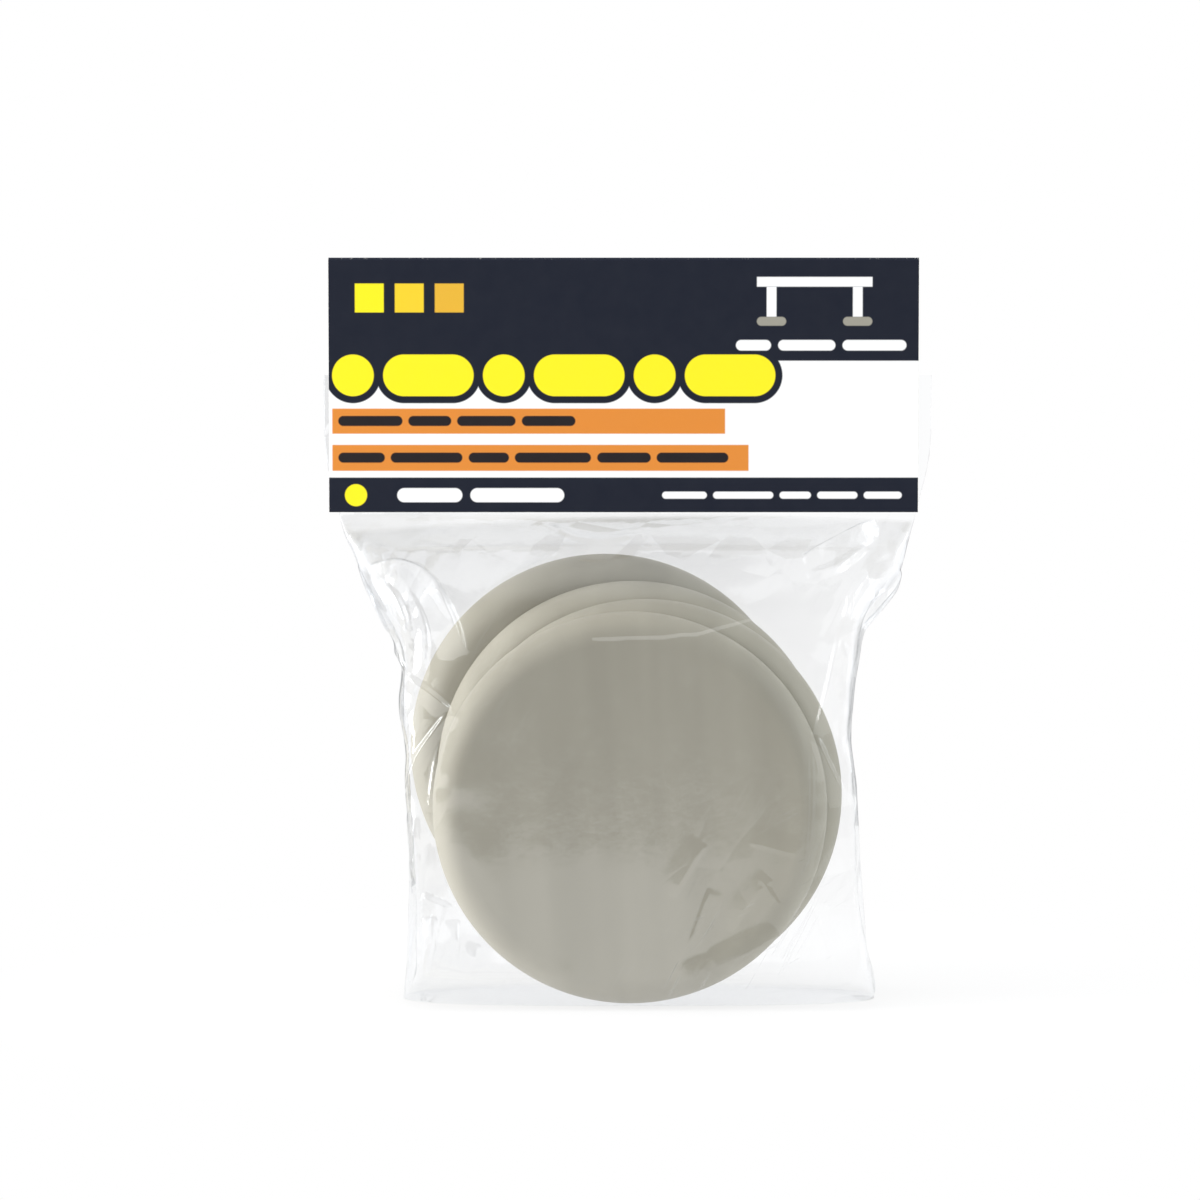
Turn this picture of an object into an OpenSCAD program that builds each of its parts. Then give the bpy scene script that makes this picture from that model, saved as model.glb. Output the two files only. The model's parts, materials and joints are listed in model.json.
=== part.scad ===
// Four round furniture sliders in a clear bag with a folded header card.
// Millimetres. Z is up, the front faces -Y, and the origin is under the middle of the bag.

/* [Sliders] */
// Diameter of each slider
slider_d = 88.9; // [80:0.1:100]
// Depth of the moulded shell, from its slick face to its rim
shell_h = 8.2; // [8:0.1:10]
// Radius of the rounded edge round the slick face
edge_r = 6; // [4:0.1:6]
// Thickness of the shell's floor behind the slick face
shell_floor = 2.4; // [1.8:0.1:3]
// Width of the rim round the pad
rim_w = 3; // [2.4:0.1:3.6]
// Height that the pad stands proud of the rim
pad_proud = 0.4; // [0.2:0.1:1]
// Clear gap between the pad's edge and the rim
pad_gap = 0.25; // [0.1:0.05:0.5]
// Thickness of the adhesive disc behind the pad
adhesive_t = 0.2; // [0.1:0.05:0.4]

/* [Stack] */
// Clear gap between neighbouring sliders, and between the sliders and the film
stack_gap = 0.3; // [0.2:0.05:0.6]
// Sideways places of the four sliders, front to rear
slider_x = [0.5, 4.1, 1.2, -5.1]; // [-6:0.1:6]
// Heights of the four sliders above the lowest place, front to rear
slider_lift = [0, 1.9, 5.1, 10.4]; // [0:0.1:12]
// Room above each slider to shift up, front to rear
slider_rise = [6, 5, 5, 2]; // [0:0.1:6]

/* [Bag] */
// Lay-flat width of the bag at its mouth
bag_w = 138; // [134:1:160]
// Width that the film is drawn in to at the lower edge of the card
neck_w = 131; // [112:1:132]
// Thickness of the film
film_t = 0.2; // [0.1:0.05:0.4]
// Room between the sliders and the left side of the bag
slack_left = 1.6; // [1.6:0.1:6]
// Room between the sliders and the right side of the bag
slack_right = 3; // [1.6:0.1:6]
// Spread of the bag's lower left corner beyond its side
ear_left = 1; // [0:0.1:6]
// Spread of the bag's lower right corner beyond its side
ear_right = 4; // [0:0.1:6]
// Height of the film neck between the highest slider and the card
neck_h = 11; // [8:0.1:20]
// Gap between the base film and the lowest slider
base_gap = 0.5; // [0.3:0.1:0.9]

/* [Header card] */
// Width of the folded card
card_w = 133; // [120:1:133]
// Height of the folded card
card_h = 57.5; // [45:0.5:80]
// Thickness of the card
card_t = 0.4; // [0.2:0.05:0.8]
// Sideways offset of the card from the middle of the bag
card_shift = -0.9; // [-2:0.1:2]
// Depth that the bag's mouth reaches up inside the card
mouth_depth = 31; // [26:0.5:36]
// Thickness of the sticky tape between the film and the card
tape_t = 0.1; // [0.05:0.05:0.2]
// Height of the sticky tape
tape_h = 12; // [6:0.5:16]
// Clear gap at the fold line of the neck, where the card swings
neck_gap = 0.6; // [0.4:0.1:0.8]

/* [Hidden] */
$fn = 128;
slider_r = slider_d / 2;
rim_r = rim_w / 2;
recess_r = slider_r - rim_w;
pad_r = recess_r - pad_gap;
pad_floor = shell_floor + adhesive_t;
pad_t = shell_h + pad_proud - pad_floor;
pitch = shell_h + pad_proud + stack_gap;
stack_front = -(4 * pitch - stack_gap) / 2;
room_y = stack_gap - stack_front;
low_z = film_t + base_gap + slider_r;
low_top = low_z + slider_r;
top_stops = slider_lift + slider_rise;
card_z = low_top + max(slider_lift) + neck_h;
card_gap = film_t + tape_t;
fold_r = card_gap + card_t;
tape_w = card_w - 12;
tape_z = card_z + 4;
mouth_flare = 12;

// Where the front and back films leave the stack, and how they turn under it
front_shoulder = low_top + max(slider_lift[0] + slider_rise[0], max(top_stops) - 4) - edge_r + 0.4;
back_shoulder = low_top + max(top_stops) - rim_r + 0.3;
front_toe = edge_r;
back_toe = rim_r;
side_left = slider_r - min(slider_x) + slack_left;
side_right = slider_r + max(slider_x) + slack_right;
draw_z = low_z + 0.8 * slider_r;
ear_h = 0.5 * slider_r;
square_z = 14;
base_power = 2.4;
side_power = 24;
neck_power = 2.5;
across = 20;
film_top = card_z - neck_gap / 2;

// A smooth step from 0 to 1
function ease(t) = let (c = max(0, min(1, t))) c * c * (3 - 2 * c);

// Share of the way from the drawn-in sides up to the neck
function neck_share(z) = ease((z - draw_z) / (card_z - draw_z));

// How far the film curls in at its toe, as a quarter circle
function toe_curl(z, toe) = z >= toe ? 0 : toe - sqrt(toe * toe - (toe - z) * (toe - z));

// Half depth of the bag's inside at a height
function film_depth(z, shoulder, toe) =
    room_y * (1 - ease((z - shoulder) / (card_z - shoulder))) - toe_curl(z, toe);

// Half width of the bag's inside at a height, on one side
function film_half(z, side, ear) =
    side + (neck_w / 2 - side) * neck_share(z) + ear * (1 - ease(z / ear_h));

// Power of the section curve: rounder at the base and the neck, square round the stack
function film_power(z) = z < square_z
    ? base_power + (side_power - base_power) * ease(z / square_z)
    : side_power + (neck_power - side_power) * neck_share(z);

// A point of the section at a height, at an angle round the front half or the back half
function film_point(z, a, depth, grow) =
    let (p = 2 / film_power(z))
    let (half = cos(a) < 0 ? film_half(z, side_left, ear_left) : film_half(z, side_right, ear_right))
    [sign(cos(a)) * (half + grow) * pow(abs(cos(a)), p), (depth + grow) * pow(abs(sin(a)), p)];

function film_row(z, shoulder, toe, grow) =
    let (depth = film_depth(z, shoulder, toe))
    [for (i = [0:across]) film_point(z, 180 * i / across, depth, grow)];

// Heights of the film's rows: close at the toe, wide beside the stack, close at the shoulder
function film_heights(shoulder, toe) = concat(
    [for (i = [0:4]) film_t + (toe - film_t) * (1 - cos(18 * i))],
    [for (i = [0:6]) toe + (shoulder - toe) * (1 + i) / 8],
    [for (i = [0:10]) shoulder + (film_top - shoulder) * i / 10]
);

module film_panel(side, shoulder, toe) {
    heights = film_heights(shoulder, toe);
    rows = len(heights);
    wide = across + 1;
    inside = rows * wide;
    points = [
        for (grow = [film_t, 0])
            for (z = heights)
                for (p = film_row(z, shoulder, toe, grow))
                    [p[0], side * p[1], z]
    ];
    skin = [
        for (k = [0:rows - 2])
            for (m = [0:across - 1])
                let (a = k * wide + m)
                each [[a, a + 1, a + wide + 1], [a, a + wide + 1, a + wide]]
    ];
    lining = [for (f = skin) [f[2] + inside, f[1] + inside, f[0] + inside]];
    sides = [
        for (k = [0:rows - 2])
            let (a = k * wide)
            let (b = a + across)
            each [
                [a, a + wide, a + wide + inside],
                [a, a + wide + inside, a + inside],
                [b, b + wide + inside, b + wide],
                [b, b + inside, b + wide + inside]
            ]
    ];
    top_row = (rows - 1) * wide;
    ends = [
        for (m = [0:across - 1])
            let (t = top_row + m)
            each [
                [m, m + inside, m + 1 + inside],
                [m, m + 1 + inside, m + 1],
                [t, t + 1 + inside, t + inside],
                [t, t + 1, t + 1 + inside]
            ]
    ];
    faces = concat(skin, lining, sides, ends);
    polyhedron(points, side > 0 ? faces : [for (f = faces) [f[2], f[1], f[0]]]);
}

// Puts a shape made along its own axis into the stack, with its slick face to the front
module place_slider(i) {
    translate([slider_x[i], stack_front + i * pitch, low_z + slider_lift[i]])
        rotate([-90, 0, 0])
            children();
}

module shell_profile() {
    difference() {
        union() {
            square([slider_r - edge_r, edge_r]);
            translate([0, edge_r])
                square([slider_r, shell_h - rim_r - edge_r]);
            intersection() {
                translate([slider_r - edge_r, edge_r])
                    circle(edge_r);
                square([slider_r, edge_r]);
            }
            translate([slider_r - rim_r, shell_h - rim_r])
                circle(rim_r);
        }
        translate([0, shell_floor])
            square([recess_r, shell_h]);
    }
}

module glide_shell(i) {
    color([0.62, 0.61, 0.56])
        place_slider(i)
            rotate_extrude()
                shell_profile();
}

module pad_adhesive(i) {
    color([0.86, 0.84, 0.78])
        place_slider(i)
            translate([0, 0, shell_floor])
                cylinder(r = pad_r - 1, h = adhesive_t);
}

module grip_pad(i) {
    color([0.3, 0.28, 0.26])
        place_slider(i)
            translate([0, 0, pad_floor])
                cylinder(r = pad_r, h = pad_t);
}

module bag_front_panel() {
    color([0.9, 0.91, 0.92, 0.35])
        film_panel(-1, front_shoulder, front_toe);
}

module bag_back_panel() {
    color([0.9, 0.91, 0.92, 0.35])
        film_panel(1, back_shoulder, back_toe);
}

module bag_base_panel() {
    front = film_row(0, front_shoulder, front_toe, film_t);
    back = film_row(0, back_shoulder, back_toe, film_t);
    outline = concat(
        [for (p = back) p],
        [for (i = [1:across - 1]) [front[across - i][0], -front[across - i][1]]]
    );
    color([0.9, 0.91, 0.92, 0.35])
        linear_extrude(film_t)
            polygon(outline);
}

// One flat film of the bag's mouth, from the neck up inside the card
module mouth_film() {
    low = card_z + neck_gap / 2;
    half = bag_w / 2;
    rotate([90, 0, 0])
        linear_extrude(film_t)
            polygon([
                [-neck_w / 2, low],
                [neck_w / 2, low],
                [half, low + mouth_flare],
                [half, card_z + mouth_depth],
                [-half, card_z + mouth_depth],
                [-half, low + mouth_flare]
            ]);
}

module bag_mouth_front() {
    color([0.9, 0.91, 0.92, 0.35])
        mouth_film();
}

module bag_mouth_back() {
    color([0.9, 0.91, 0.92, 0.35])
        translate([0, film_t, 0])
            mouth_film();
}

// Section of a folded sheet: two straight legs joined by a round fold at the top
module fold_profile(radius) {
    translate([-radius, 0])
        square([2 * radius, card_h - fold_r]);
    translate([0, card_h - fold_r])
        circle(radius);
}

module header_card() {
    color([0.13, 0.14, 0.19])
        translate([card_shift - card_w / 2, 0, card_z])
            rotate([90, 0, 90])
                linear_extrude(card_w)
                    difference() {
                        fold_profile(fold_r);
                        fold_profile(card_gap);
                    }
}

module header_tape(y) {
    color([0.93, 0.92, 0.86])
        translate([card_shift - tape_w / 2, y, tape_z])
            cube([tape_w, tape_t, tape_h]);
}

module header_tape_front() {
    header_tape(-card_gap);
}

module header_tape_back() {
    header_tape(film_t);
}

for (i = [0:3]) {
    glide_shell(i);
    pad_adhesive(i);
    grip_pad(i);
}
bag_front_panel();
bag_back_panel();
bag_base_panel();
bag_mouth_front();
bag_mouth_back();
header_card();
header_tape_front();
header_tape_back();
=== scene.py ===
# %% [markdown]
# # A bag of round furniture sliders
#
# Four moulded sliders stand in a clear film bag, and a folded printed card closes the bag's mouth.
# The solids come in as a fixed frame in metres. This lesson dresses them: the hard shells and the card
# keep their solids and get materials, and the soft film and the foam pads are made here.

# %% Load the frame
import json
import math

import bmesh
import bpy
import numpy as np
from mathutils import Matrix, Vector, noise


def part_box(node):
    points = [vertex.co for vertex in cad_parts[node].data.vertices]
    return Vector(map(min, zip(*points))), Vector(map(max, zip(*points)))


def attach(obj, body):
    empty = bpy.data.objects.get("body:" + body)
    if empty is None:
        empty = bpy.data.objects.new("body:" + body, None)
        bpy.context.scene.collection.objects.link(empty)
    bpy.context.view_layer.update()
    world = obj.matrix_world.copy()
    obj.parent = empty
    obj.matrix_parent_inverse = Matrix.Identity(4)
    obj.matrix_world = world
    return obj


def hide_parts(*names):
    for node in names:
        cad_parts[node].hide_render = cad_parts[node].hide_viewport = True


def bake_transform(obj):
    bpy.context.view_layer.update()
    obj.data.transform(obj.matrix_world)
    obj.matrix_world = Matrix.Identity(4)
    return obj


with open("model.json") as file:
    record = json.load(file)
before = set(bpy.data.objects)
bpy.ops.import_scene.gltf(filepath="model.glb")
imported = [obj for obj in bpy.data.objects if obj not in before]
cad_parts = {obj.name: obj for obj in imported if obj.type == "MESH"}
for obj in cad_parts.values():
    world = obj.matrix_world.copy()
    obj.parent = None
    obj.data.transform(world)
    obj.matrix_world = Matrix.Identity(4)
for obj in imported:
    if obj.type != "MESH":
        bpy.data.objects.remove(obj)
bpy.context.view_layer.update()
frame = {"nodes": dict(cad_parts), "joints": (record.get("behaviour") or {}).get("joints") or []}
scene = bpy.context.scene
mm = 0.001

# %% [markdown]
# ## Camera
#
# The photo is taken nearly square on, from far away and a little above, so edges stay almost parallel.
# A long lens does the same: the distance sets the perspective, and the lens sets the size in the frame.

# %% Camera
view_distance = 1.5
view_rise = math.radians(6)
pixels_per_metre = 4420
image_pixels = 1200
aim = Vector((-0.00622, 0, 0.09103))

camera_data = bpy.data.cameras.new("camera")
camera_data.sensor_width = 36
camera_data.lens = camera_data.sensor_width * pixels_per_metre * view_distance / image_pixels
camera = bpy.data.objects.new("camera", camera_data)
scene.collection.objects.link(camera)
camera.location = aim + view_distance * Vector((0, -math.cos(view_rise), math.sin(view_rise)))
camera.rotation_euler = (math.pi / 2 - view_rise, 0, 0)
scene.camera = camera
print("lens in mm:", round(camera_data.lens, 1))

# %% [markdown]
# ## Studio
#
# The rounded edges of the sliders are brighter than their faces in the photo, so most light comes from the
# sides: a big soft lamp at the left, a weaker cool one at the right, and faint ones above and behind.
# Each lamp is set by the share of a colour that it gives back from a surface turned square to it, since
# 1 in all renders a colour as written. A big lamp mirrored in film leaves wide white blots, so the big
# ones stay out of reflections, and slim strip lamps draw the thin bright lines along the folds.

# %% Lamps
scene.view_settings.view_transform = "Standard"
middle = Vector((0, 0, 0.075))


def soft_lamp(name, place, width, height, share, tint=(1, 1, 1), mirrored=True):
    """A lamp that looks at the object, set by the share of a colour that it gives back."""
    away = (Vector(place) - middle).length
    data = bpy.data.lights.new(name, "AREA")
    data.shape = "RECTANGLE"
    data.size = width
    data.size_y = height
    data.color = tint
    data.energy = share * math.pi ** 2 * away ** 2
    lamp = bpy.data.objects.new(name, data)
    lamp.location = place
    lamp.rotation_euler = (middle - Vector(place)).to_track_quat("-Z", "Y").to_euler()
    lamp.visible_glossy = mirrored
    scene.collection.objects.link(lamp)
    print(name, "watts:", round(data.energy, 1))


cool = (0.88, 0.95, 1.0)
soft_lamp("lamp_left", (-1.2, -0.28, 0.35), 1.0, 1.0, 1.45, mirrored=False)
soft_lamp("strip_left", (-1.2, -0.34, 0.35), 0.36, 1.1, 0.40)
soft_lamp("lamp_right", (1.15, -0.3, 0.45), 0.6, 0.6, 0.40, cool, mirrored=False)
soft_lamp("strip_right", (1.15, -0.42, 0.5), 0.3, 0.9, 0.15, cool)
soft_lamp("lamp_top", (0.0, -0.1, 1.2), 0.7, 0.7, 0.55, mirrored=False)
soft_lamp("lamp_back", (0.2, 1.2, 0.9), 1.2, 0.8, 0.30, mirrored=False)

# %% [markdown]
# ## Node helpers
#
# Every finish below is a small network of nodes. These helpers add a node, set its sockets from plain
# values, and link the ones that come from other nodes, so a finish reads from top to bottom.


# %% Node helpers
def new_finish(name):
    """An empty node material, as (material, its tree, its output node)."""
    material = bpy.data.materials.new(name)
    material.use_nodes = True
    tree = material.node_tree
    tree.nodes.clear()
    return material, tree, tree.nodes.new("ShaderNodeOutputMaterial")


def add(tree, kind, operation=None, **sockets):
    """Adds a node. A socket given as another node's output is linked, and a plain value is set."""
    node = tree.nodes.new("ShaderNode" + kind)
    if operation:
        node.operation = operation
    for name, value in sockets.items():
        index = int(name[1:]) if name[1:].isdigit() else name.replace("_", " ")
        socket = node.inputs[index]
        if isinstance(value, bpy.types.NodeSocket):
            tree.links.new(value, socket)
        else:
            socket.default_value = value
    return node


def maths(tree, operation, a, b=0.0, c=0.0):
    """A Math node's result."""
    return add(tree, "Math", operation, s0=a, s1=b, s2=c).outputs[0]


def ramp(tree, value, start, end):
    """0 where a value is before the start, 1 past the end, and a straight slope between."""
    return add(tree, "MapRange", Value=value, From_Min=start, From_Max=end).outputs[0]


def mixed(tree, share, a, b):
    """One colour over another by a share from 0 to 1."""
    node = tree.nodes.new("ShaderNodeMix")
    node.data_type = "RGBA"
    for index, value in ((0, share), (6, a), (7, b)):
        if isinstance(value, bpy.types.NodeSocket):
            tree.links.new(value, node.inputs[index])
        else:
            node.inputs[index].default_value = value
    return node.outputs[2]


def colour(red, green, blue):
    """A linear colour from the 0 to 255 values that a picture shows."""
    def linear(v):
        v = v / 255
        return v / 12.92 if v <= 0.04045 else ((v + 0.055) / 1.055) ** 2.4
    return (linear(red), linear(green), linear(blue), 1)


def place_of(tree):
    """The point being shaded, in the object's own metres."""
    return tree.nodes.new("ShaderNodeTexCoord").outputs["Object"]


def drawn_out(tree, where, tilt, scale):
    """A place that is turned about Y and then scaled, which draws a pattern out along a tilted line."""
    turned = add(tree, "Mapping", Vector=where, Rotation=(0, math.radians(tilt), 0))
    return add(tree, "Mapping", Vector=turned.outputs[0], Scale=scale).outputs[0]


def dress(names, material):
    """Gives a material to CAD nodes by name."""
    for name in names:
        data = frame["nodes"][name].data
        data.materials.clear()
        data.materials.append(material)


# %% [markdown]
# ## White surroundings
#
# The photo's background is pure white. A world that is white to every ray would flood the object with light
# from all sides and flatten it. So the world is white only to rays that see it straight, mirrored or
# through film, and a softer fill light to all others.

# %% World
fill_strength = 0.40
world = bpy.data.worlds.new("studio")
scene.world = world
world.use_nodes = True
tree = world.node_tree
tree.nodes.clear()
ray = add(tree, "LightPath").outputs
seen = maths(tree, "MAXIMUM", ray["Is Camera Ray"], ray["Is Glossy Ray"])
seen = maths(tree, "MAXIMUM", seen, ray["Is Transmission Ray"])
fill_light = add(tree, "Background", Color=(1, 1, 1, 1), Strength=fill_strength)
white = add(tree, "Background", Color=(1, 1, 1, 1), Strength=1.0)
choose = add(tree, "MixShader", s0=seen, s1=fill_light.outputs[0], s2=white.outputs[0])
add(tree, "OutputWorld", Surface=choose.outputs[0])
print("fill light strength:", fill_strength)

# %% [markdown]
# ## Floor
#
# A small white floor takes the contact shadow, and fades into the white background before its edge shows.
# The paper has a little light of its own, so that it is white wherever the object doesn't shade it.
# Its front edge is mirrored in the film as a faint level line low on the front slider, as in the photo.

# %% Floor
floor_half = 0.285
floor_drop = 0.0002
shade_start = 0.06
shade_end = 0.15
paper_tone = (0.17, 0.17, 0.17, 1)
paper_glow = 0.78

corners = [(-1, -1), (1, -1), (1, 1), (-1, 1)]
floor_points = [(x * floor_half, y * floor_half, -floor_drop) for x, y in corners]
floor_mesh = bpy.data.meshes.new("floor")
floor_mesh.from_pydata(floor_points, [], [(0, 1, 2, 3)])
floor = bpy.data.objects.new("floor", floor_mesh)
scene.collection.objects.link(floor)

floor_finish, tree, out = new_finish("floor_white")
from_middle = add(tree, "VectorMath", "LENGTH", s0=place_of(tree)).outputs["Value"]
fade = ramp(tree, from_middle, shade_start, shade_end)
paper = add(tree, "BsdfDiffuse", Color=paper_tone)
own = add(tree, "Emission", Color=(1, 1, 1, 1), Strength=paper_glow)
lit = add(tree, "AddShader", s0=paper.outputs[0], s1=own.outputs[0])
glow = add(tree, "Emission", Color=(1, 1, 1, 1), Strength=1.0)
both = add(tree, "MixShader", s0=fade, s1=lit.outputs[0], s2=glow.outputs[0])
tree.links.new(both.outputs[0], out.inputs["Surface"])
floor_mesh.materials.append(floor_finish)
print("floor side in m:", 2 * floor_half)

# %% [markdown]
# ## Grey tent
#
# Clear film shows only by what it mirrors, and film that mirrors white on white would vanish. So a grey
# dome stands round the object, and only reflections see it. It is darkest behind the camera and
# paler to the back, the sides and the top, with no edge that could show in the film. Low at the back it
# is nearly white, because the film under the stack mirrors that part.

# %% Tent shape
tent_reach = 3.0
tent_foot = -0.4
work = bmesh.new()
bmesh.ops.create_uvsphere(work, u_segments=48, v_segments=24, radius=tent_reach)
low_half = [v for v in work.verts if v.co.z < tent_foot]
bmesh.ops.delete(work, geom=low_half, context="VERTS")
tent_mesh = bpy.data.meshes.new("grey_tent")
work.to_mesh(tent_mesh)
work.free()
tent = bpy.data.objects.new("grey_tent", tent_mesh)
scene.collection.objects.link(tent)
tent.visible_camera = False
tent.visible_diffuse = False
tent.visible_shadow = False
print("tent faces:", len(tent_mesh.polygons))

# %% Tent tone
tent_finish, tree, out = new_finish("tent_grey")
x, y, z = add(tree, "SeparateXYZ", Vector=place_of(tree)).outputs
front_tone = 0.16
to_back = ramp(tree, y, -2.6, 2.4)
to_top = ramp(tree, z, 0.6, 2.8)
to_left = ramp(tree, x, -1.1, -2.7)
to_right = ramp(tree, x, 1.1, 2.7)
low_back = maths(tree, "MULTIPLY", ramp(tree, y, 2.2, 2.8), ramp(tree, z, 0.0, 0.05))
pale = front_tone
for part, gain in ((to_back, 0.32), (to_top, 0.12), (to_left, 1.2), (to_right, 0.9), (low_back, 0.45)):
    pale = maths(tree, "MULTIPLY_ADD", part, gain, pale)
wall = add(tree, "Emission", Color=(0.97, 0.98, 1, 1), Strength=pale)
tree.links.new(wall.outputs[0], out.inputs["Surface"])
tent_mesh.materials.append(tent_finish)
print("tent tone at the front:", front_tone)

# %% [markdown]
# ## Shells
#
# The shells are smooth moulded plastic with a satin face. The solids already have the rounded edge,
# so they only need a finish: a warm grey with a faint cloud of colour, fine grain, light scuffs, and
# upright light and dark streaks painted in, a painted reflection of the film's ripples on the face.
# One finish serves all four, and each shell shows another part of the pattern because it follows the place in
# space.

# %% Moulded plastic
plastic, tree, out = new_finish("moulded_plastic")
where = place_of(tree)
cloud = add(tree, "TexNoise", Vector=where, Scale=28.0, Detail=3.0, Roughness=0.55)
# Upright light and dark streaks in the colour: a painted reflection of the film's upright ripples.
painted_streaks = add(tree, "TexNoise", Vector=drawn_out(tree, where, 3, (110, 40, 9)), Scale=1.0, Detail=2.0)
uneven = maths(tree, "MULTIPLY_ADD", painted_streaks.outputs["Fac"], 3.0, -1.5)
uneven = maths(tree, "ADD", cloud.outputs["Fac"], uneven)
tone = mixed(tree, uneven, colour(161, 157, 143), colour(169, 165, 151))
scuff_place = drawn_out(tree, where, 60, (60, 60, 900))
scuff = add(tree, "TexNoise", Vector=scuff_place, Scale=1.0, Detail=4.0, Roughness=0.7)
scuffed = ramp(tree, scuff.outputs["Fac"], 0.6, 0.8)
roughness = maths(tree, "MULTIPLY_ADD", scuffed, 0.10, 0.50)
skin = add(tree, "BsdfPrincipled", Base_Color=tone, Roughness=roughness, Specular_IOR_Level=0.4)
grain = add(tree, "TexNoise", Vector=where, Scale=2600.0, Detail=2.0, Roughness=0.6)
bump = add(tree, "Bump", Height=grain.outputs["Fac"], Strength=0.12, Distance=0.00004)
tree.links.new(bump.outputs[0], skin.inputs["Normal"])
tree.links.new(skin.outputs[0], out.inputs["Surface"])
shells = [f"glide_shell_{i}" for i in range(1, 5)]
dress(shells, plastic)
print("shells dressed:", len(shells))

# %% [markdown]
# ## Foam
#
# The pads are closed-cell foam, dull and finely pitted. A picture of foam would do, but a Voronoi pattern
# gives cells of any size without one, and as a bump the same pattern makes the pits catch the light.

# %% Foam
foam, tree, out = new_finish("grip_foam")
where = place_of(tree)
cells = add(tree, "TexVoronoi", Vector=where, Scale=900.0)
patches = add(tree, "TexNoise", Vector=where, Scale=60.0, Detail=3.0)
tone = mixed(tree, patches.outputs["Fac"], colour(92, 84, 76), colour(112, 103, 94))
pits = maths(tree, "MULTIPLY", cells.outputs["Distance"], 0.5)
tone = mixed(tree, pits, tone, colour(58, 52, 47))
sponge = add(tree, "BsdfPrincipled", Base_Color=tone, Roughness=0.92)
bump = add(tree, "Bump", Height=cells.outputs["Distance"], Strength=0.5, Distance=0.0003)
tree.links.new(bump.outputs[0], sponge.inputs["Normal"])
tree.links.new(sponge.outputs[0], out.inputs["Surface"])
print("foam nodes:", len(tree.nodes))

# %% [markdown]
# ## Pads
#
# A foam pad fills the recess at the back of each shell, and faces the leg of the furniture. A plain cylinder
# looks hard, so each pad is turned from a profile as a low disc with soft edges and a slightly crowned
# face. The profile fits the box of the solid pad, so it follows any change of size.

# %% Pad profile
pad_edge = 0.9 * mm
pad_crown = 0.18 * mm
edge_steps = 6
crown_steps = 6
quarter_turn = [math.radians(90 * k / edge_steps) for k in range(edge_steps + 1)]


def pad_profile(radius, deep):
    """Points (reach, rise) from the middle of a pad's glued face, round its edge, to its crown."""
    flat = radius - pad_edge
    profile = [(0.0, 0.0), (flat, 0.0)]
    for turn in quarter_turn[1:]:
        profile.append((flat + pad_edge * math.sin(turn), pad_edge - pad_edge * math.cos(turn)))
    for turn in quarter_turn:
        rise = deep - pad_crown - pad_edge + pad_edge * math.sin(turn)
        profile.append((flat + pad_edge * math.cos(turn), rise))
    for k in range(1, crown_steps + 1):
        reach = flat * (1 - k / crown_steps)
        profile.append((reach, deep - pad_crown * (reach / flat) ** 2))
    return profile


print("pad edge in mm:", round(pad_edge / mm, 2))

# %% Pads
pad_steps = 96
pad_turns = [2 * math.pi * s / pad_steps for s in range(pad_steps)]


def turned_pad(name, node):
    """A soft-edged disc along Y in the box of a CAD pad."""
    low, high = (Vector(corner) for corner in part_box(node))
    centre = (low + high) / 2
    work = bmesh.new()
    rows = []
    for reach, rise in pad_profile((high.x - low.x) / 2, high.y - low.y):
        turns = pad_turns if reach > 0 else [0.0]
        rows.append([
            work.verts.new((centre.x + reach * math.cos(t), low.y + rise, centre.z + reach * math.sin(t)))
            for t in turns
        ])
    for a, b in zip(rows, rows[1:]):
        for s in range(pad_steps):
            ring = [a[s % len(a)], a[(s + 1) % len(a)], b[(s + 1) % len(b)], b[s % len(b)]]
            work.faces.new(list(dict.fromkeys(ring)))
    bmesh.ops.recalc_face_normals(work, faces=work.faces)
    data = bpy.data.meshes.new(name)
    work.to_mesh(data)
    work.free()
    data.shade_smooth()
    data.materials.append(foam)
    pad = bpy.data.objects.new(name, data)
    scene.collection.objects.link(pad)
    return pad


for i in range(1, 5):
    pad = turned_pad(f"foam_pad_{i}", f"grip_pad_{i}")
    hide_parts(f"grip_pad_{i}")
    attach(pad, f"slider_{i}")
print("pads turned: 4")

# %% [markdown]
# ## Adhesive and tape
#
# A thin pale film of adhesive holds each pad in its recess, and strips of tape hold the bag's mouth in the
# card. Both are hidden in the finished pack, so the solids stay as they are and share one simple finish.

# %% Adhesive and tape
sticky, tree, out = new_finish("sticky_film")
blotch = add(tree, "TexNoise", Vector=place_of(tree), Scale=140.0, Detail=3.0)
tone = mixed(tree, blotch.outputs["Fac"], colour(226, 221, 204), colour(240, 237, 226))
glue = add(tree, "BsdfPrincipled", Base_Color=tone, Roughness=0.42)
tree.links.new(glue.outputs[0], out.inputs["Surface"])
sticky_nodes = [f"pad_adhesive_{i}" for i in range(1, 5)] + ["header_tape_front", "header_tape_back"]
dress(sticky_nodes, sticky)
print("sticky layers dressed:", len(sticky_nodes))

# %% [markdown]
# ## Header card
#
# The card is printed in flat colour: a dark field at the top, a white field with two orange bars, and
# a dark band at the foot. A picture could be laid on it, but masks made from the point's own place on the
# card stay sharp at any size and move with the card. Sizes of the print are in mm, across from the card's
# middle and up from its foot.

# %% Print helpers
card_low, card_high = (Vector(corner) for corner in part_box("header_card"))
card_middle = (card_low.x + card_high.x) / 2
card_foot = card_low.z
ink_edge = 0.12 * mm


def step_up(tree, value, edge):
    """0 below an edge and 1 above it, over a hair's width."""
    return ramp(tree, value, edge - ink_edge, edge + ink_edge)


def step_down(tree, value, edge):
    """1 below an edge and 0 above it."""
    return maths(tree, "SUBTRACT", 1.0, step_up(tree, value, edge))


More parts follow.
